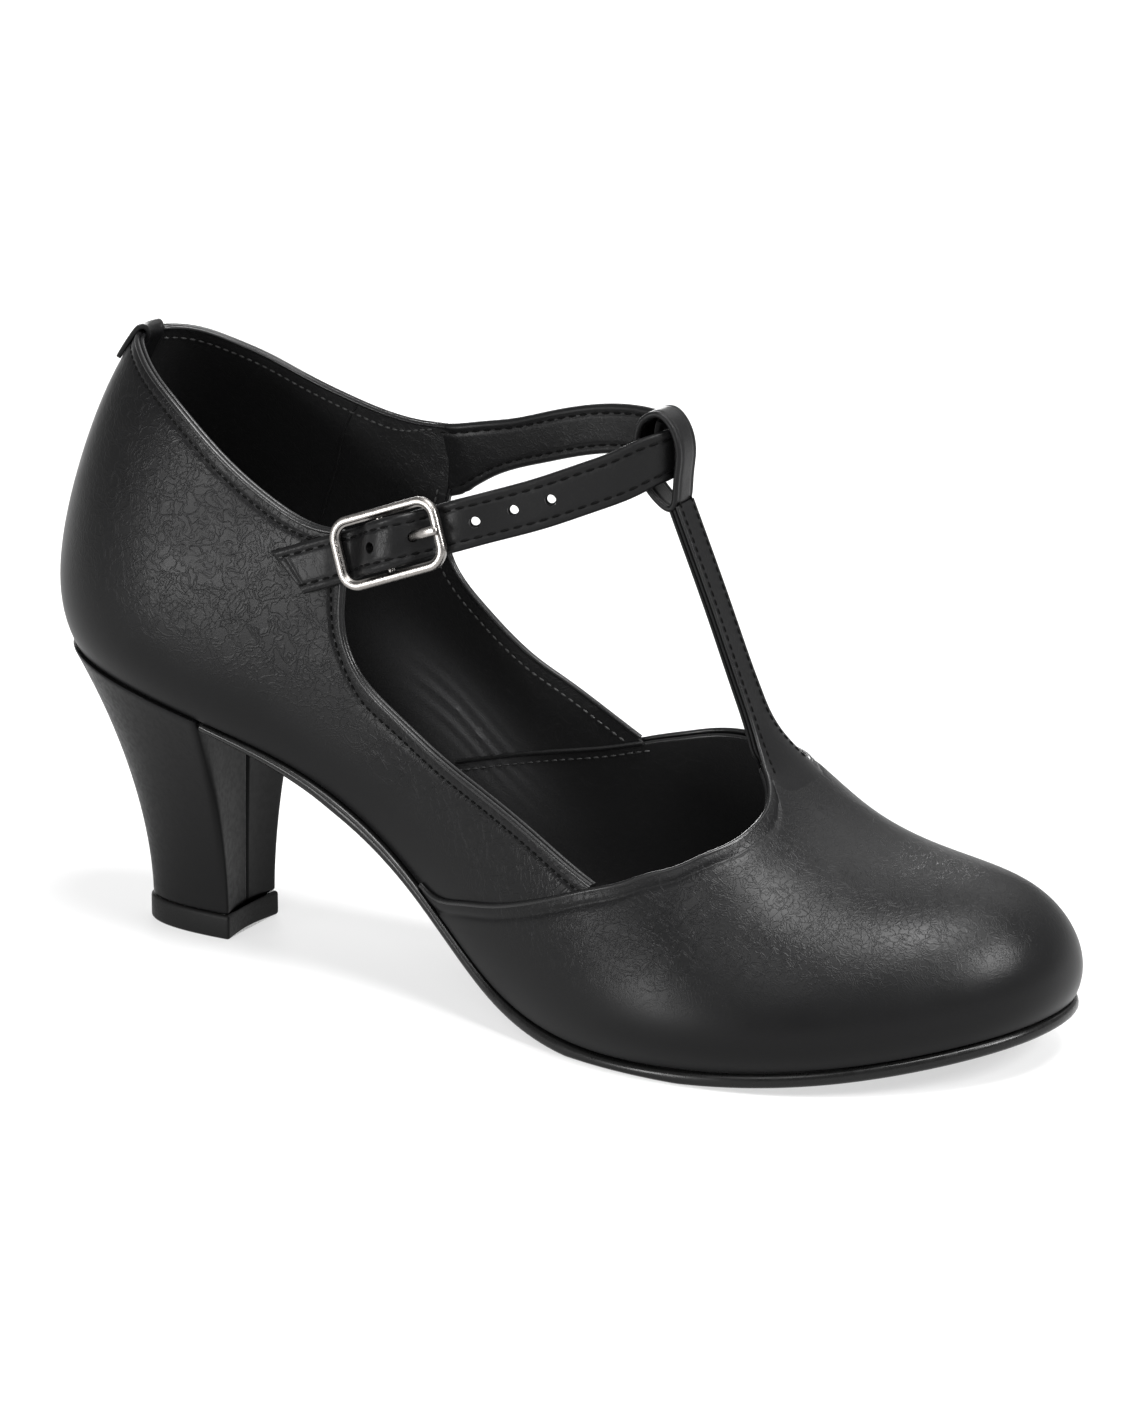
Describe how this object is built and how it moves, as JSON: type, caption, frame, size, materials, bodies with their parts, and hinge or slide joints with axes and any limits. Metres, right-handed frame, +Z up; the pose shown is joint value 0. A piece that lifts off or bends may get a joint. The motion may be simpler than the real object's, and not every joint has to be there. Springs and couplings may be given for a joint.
{
  "type": "dance shoe",
  "caption": "Right-foot T-strap dance shoe with a low vamp, a closed heel counter, an ankle strap through a loop and a side buckle, a thin flexible sole and a flared block heel.",
  "frame": {"origin": "middle of the shoe's box, on the floor plane that the top lift and the ball of the sole stand on", "axes": "+X to the toe, +Y to the inner (medial) side of the foot, +Z up"},
  "size_m": [0.235, 0.0864, 0.1316],
  "materials": {
    "grain_leather": "black leather with an embossed wrinkle grain, satin",
    "strap_leather": "smooth black leather with rolled edges, satin",
    "nickel": "nickel plate, lightly brushed",
    "lining": "black lining leather, matt",
    "sole_black": "black suede-split sole with a glossy inked edge",
    "heel_black": "black covered heel block, satin",
    "lift_rubber": "black rubber top piece, matt"
  },
  "bodies": {
    "root": {"upper": "grain_leather", "back_tab": "strap_leather", "t_strap": "strap_leather", "ankle_strap": "strap_leather", "buckle_tab": "strap_leather", "buckle_frame": "nickel", "buckle_prong": "nickel", "insole": "lining", "outsole": "sole_black", "heel": "heel_black", "top_lift": "lift_rubber"}
  },
  "joints": []
}
